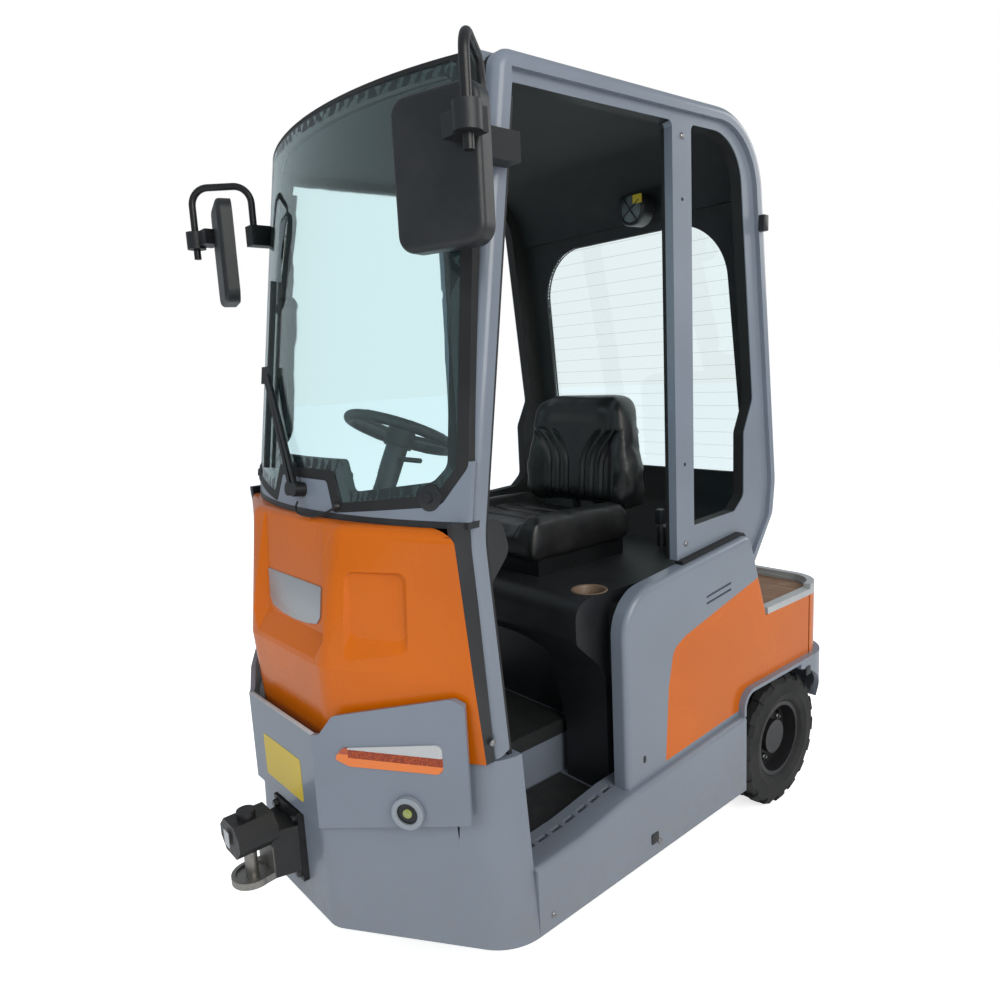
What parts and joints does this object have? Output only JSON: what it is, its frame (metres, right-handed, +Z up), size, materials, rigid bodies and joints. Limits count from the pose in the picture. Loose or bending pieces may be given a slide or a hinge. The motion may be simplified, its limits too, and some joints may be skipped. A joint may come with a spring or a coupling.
{
  "type": "electric tow tractor",
  "caption": "Compact electric tow tractor with an open-sided cab, curved windscreen, sculpted hood, folded bumper plate, steered front wheel, driven rear wheels and towing jaws at both ends.",
  "frame": {"origin": "on the ground, below the middle of the overall length, on the centre plane", "axes": "+X forward, +Y to the left, +Z up"},
  "size_m": [1.83, 1.2178, 1.9171],
  "materials": {
    "grey_paint": "satin",
    "orange_paint": "gloss",
    "dark_grey": "matte",
    "black_trim": "matte",
    "glass_tint": "clear",
    "amber": "gloss",
    "clear_lens": "clear",
    "red_lens": "gloss",
    "black_metal": "satin",
    "vinyl": "satin",
    "mat": "matte",
    "board": "matte",
    "deck_edge": "satin",
    "steel": "worn",
    "tyre": "matte",
    "rim": "satin",
    "battery": "satin"
  },
  "bodies": {
    "chassis": {"chassis_frame": "black_metal", "front_apron": "grey_paint", "bumper_plate": "grey_paint", "lamp_housings": "amber", "lamp_lenses": "clear_lens", "nose_cover": "orange_paint", "nose_seal": "dark_grey", "cowl_panel": "grey_paint", "windscreen": "glass_tint", "windscreen_seal": "black_trim", "cab_side_left": "grey_paint", "cab_side_right": "grey_paint", "door_seals": "black_trim", "flank_trims": "black_trim", "cab_roof": "grey_paint", "roof_liner": "dark_grey", "rear_wall": "dark_grey", "rear_window": "glass_tint", "work_lamp": "black_metal", "side_sills": "grey_paint", "floor_pan": "grey_paint", "floor_mats": "mat", "dashboard": "dark_grey", "steering_column": "dark_grey", "pedals": "mat", "seat_console": "dark_grey", "seat_base": "black_metal", "seat_cushion": "vinyl", "seat_back": "vinyl", "flank_panels": "grey_paint", "flank_inlays": "orange_paint", "rear_cover": "orange_paint", "rear_deck": "board", "deck_rim": "deck_edge", "rear_bumper": "grey_paint", "tail_lamps": "red_lens", "fender_liners": "dark_grey", "battery_block": "battery", "drive_axle": "black_metal", "front_coupling": "steel", "rear_coupling": "black_metal", "mirror_arms": "black_metal", "mirror_heads": "dark_grey", "wiper": "black_metal", "grab_handles": "black_metal"},
    "steer": {"steer_fork": "black_metal"},
    "front_wheel": {"front_rim": "rim", "front_tyre": "tyre"},
    "rear_wheel_left": {"rear_rim_left": "rim", "rear_tyre_left": "tyre"},
    "rear_wheel_right": {"rear_rim_right": "rim", "rear_tyre_right": "tyre"},
    "steering_wheel": {"steering_wheel": "black_trim"}
  },
  "joints": [
    {"name": "steer", "type": "hinge", "parent": "chassis", "child": "steer", "pos_m": [0.49, 0, 0.3], "axis": [0, 0, 1], "range_deg": [-80, 80]},
    {"name": "front_wheel_roll", "type": "hinge", "parent": "steer", "child": "front_wheel", "pos_m": [0.49, 0, 0.178], "axis": [0, 1, 0], "continuous": true},
    {"name": "rear_wheel_left_roll", "type": "hinge", "parent": "chassis", "child": "rear_wheel_left", "pos_m": [-0.57, 0.41, 0.198], "axis": [0, 1, 0], "continuous": true},
    {"name": "rear_wheel_right_roll", "type": "hinge", "parent": "chassis", "child": "rear_wheel_right", "pos_m": [-0.57, -0.41, 0.198], "axis": [0, 1, 0], "continuous": true},
    {"name": "steering_wheel_turn", "type": "hinge", "parent": "chassis", "child": "steering_wheel", "pos_m": [0.395, 0, 1.186], "axis": [-0.4226, 0, 0.9063], "range_deg": [-720, 720]}
  ],
  "couplings": [
    {"joint": "steering_wheel_turn", "follows": "steer", "ratio": 9}
  ]
}
